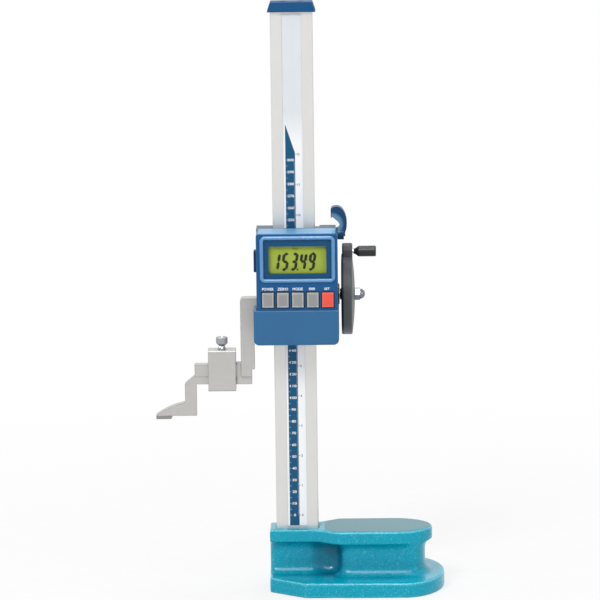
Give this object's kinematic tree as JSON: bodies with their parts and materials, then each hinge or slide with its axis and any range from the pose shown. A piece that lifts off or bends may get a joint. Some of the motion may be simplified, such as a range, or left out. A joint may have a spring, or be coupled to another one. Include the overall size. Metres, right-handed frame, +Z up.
{
  "type": "height gauge",
  "caption": "Digital height gauge: cast base, graduated steel column, handwheel-driven slider with display head, and a clamped scriber for measuring and marking heights.",
  "frame": {"origin": "underside of the base, under the middle of the column", "axes": "+X along the base away from the scriber, -Y towards the user, +Z up the column"},
  "size_m": [0.2387, 0.099, 0.4918],
  "materials": {
    "base_enamel": "hammered teal enamel on cast iron, ground land on top",
    "column_steel": "satin ground stainless steel",
    "strip_print": "printed scale film",
    "rack_steel": "machined",
    "cap_plastic": "moulded, satin",
    "slider_metal": "satin, ground ways",
    "fastener_steel": "blackened socket screws",
    "bearing_brass": "turned",
    "wheel_black": "moulded phenolic, satin",
    "bright_chrome": "polished",
    "grip_black": "turned phenolic, glossy",
    "case_blue": "moulded, fine satin texture",
    "lever_blue": "moulded glass-filled plastic",
    "clear_window": "clear acrylic",
    "lcd_green": "reflective liquid crystal glass",
    "board_green": "solder mask",
    "inner_black": "moulded",
    "key_grey": "silicone, matte",
    "key_red": "silicone, matte",
    "cell_steel": "nickel plated",
    "arm_steel": "satin chrome",
    "carbide": "ground tungsten carbide"
  },
  "bodies": {
    "stand": {"base": "base_enamel", "column": "column_steel", "column_screws": "fastener_steel", "scale_strip": "strip_print", "rack": "rack_steel", "top_cap": "cap_plastic", "cap_screws": "fastener_steel"},
    "slider": {"slider_body": "slider_metal", "gib_strip": "bearing_brass", "gib_screws": "fastener_steel", "slider_back_plate": "slider_metal", "back_plate_screws": "fastener_steel", "left_bush": "bearing_brass", "right_bush": "arm_steel", "brake_pad": "bearing_brass", "scriber_arm": "arm_steel", "arm_screws": "fastener_steel", "display_cover": "case_blue", "display_back": "case_blue", "case_screws": "fastener_steel", "battery_cover": "case_blue", "lcd_window": "clear_window", "lcd_panel": "lcd_green", "lcd_frame": "inner_black", "circuit_board": "board_green", "reader_board": "board_green", "key_switches": "inner_black", "battery_holder": "inner_black", "battery": "cell_steel", "port_cover": "cap_plastic", "data_port": "inner_black"},
    "handwheel": {"pinion_shaft": "bright_chrome", "shaft_clip": "fastener_steel", "pinion": "rack_steel", "handwheel": "wheel_black", "hub_nut": "bright_chrome", "handle_spindle": "bright_chrome"},
    "crank_grip": {"handle_grip": "grip_black"},
    "lock_lever": {"lock_lever": "lever_blue", "lock_screw": "fastener_steel"},
    "power_key": {"power_key": "key_grey"},
    "zero_key": {"zero_key": "key_grey"},
    "mode_key": {"mode_key": "key_grey"},
    "unit_key": {"unit_key": "key_grey"},
    "set_key": {"set_key": "key_red"},
    "clamp": {"scriber_clamp": "arm_steel"},
    "clamp_screw": {"clamp_screw": "bright_chrome"},
    "scriber": {"scriber": "arm_steel", "carbide_tip": "carbide"}
  },
  "joints": [
    {"name": "slider_travel", "type": "slide", "parent": "stand", "child": "slider", "axis": [0, 0, 1], "range_m": [-0.1435, 0.157]},
    {"name": "wheel_turn", "type": "hinge", "parent": "slider", "child": "handwheel", "pos_m": [0.045, 0.015, 0.2445], "axis": [1, 0, 0], "range_deg": [-1143, 1251]},
    {"name": "grip_spin", "type": "hinge", "parent": "handwheel", "child": "crank_grip", "pos_m": [0.06, 0.015, 0.2805], "axis": [1, 0, 0], "continuous": true},
    {"name": "lever_swing", "type": "hinge", "parent": "slider", "child": "lock_lever", "pos_m": [0.038, 0, 0.2984], "axis": [1, 0, 0], "range_deg": [-40, 0]},
    {"name": "power_press", "type": "slide", "parent": "slider", "child": "power_key", "axis": [0, 1, 0], "range_m": [0, 0.001], "stiffness_N_per_m": 600},
    {"name": "zero_press", "type": "slide", "parent": "slider", "child": "zero_key", "axis": [0, 1, 0], "range_m": [0, 0.001], "stiffness_N_per_m": 600},
    {"name": "mode_press", "type": "slide", "parent": "slider", "child": "mode_key", "axis": [0, 1, 0], "range_m": [0, 0.001], "stiffness_N_per_m": 600},
    {"name": "unit_press", "type": "slide", "parent": "slider", "child": "unit_key", "axis": [0, 1, 0], "range_m": [0, 0.001], "stiffness_N_per_m": 600},
    {"name": "set_press", "type": "slide", "parent": "slider", "child": "set_key", "axis": [0, 1, 0], "range_m": [0, 0.001], "stiffness_N_per_m": 600},
    {"name": "clamp_slide", "type": "slide", "parent": "slider", "child": "clamp", "axis": [1, 0, 0], "range_m": [-0.01, 0]},
    {"name": "clamp_screw_turn", "type": "hinge", "parent": "clamp", "child": "clamp_screw", "pos_m": [-0.06105, 0, 0.2], "axis": [0, 0, 1], "range_deg": [0, 720]},
    {"name": "scriber_slide", "type": "slide", "parent": "clamp", "child": "scriber", "axis": [1, 0, 0], "range_m": [-0.01, 0.006]}
  ],
  "couplings": [
    {"joint": "wheel_turn", "follows": "slider_travel", "rad_per_m": 138.89}
  ]
}
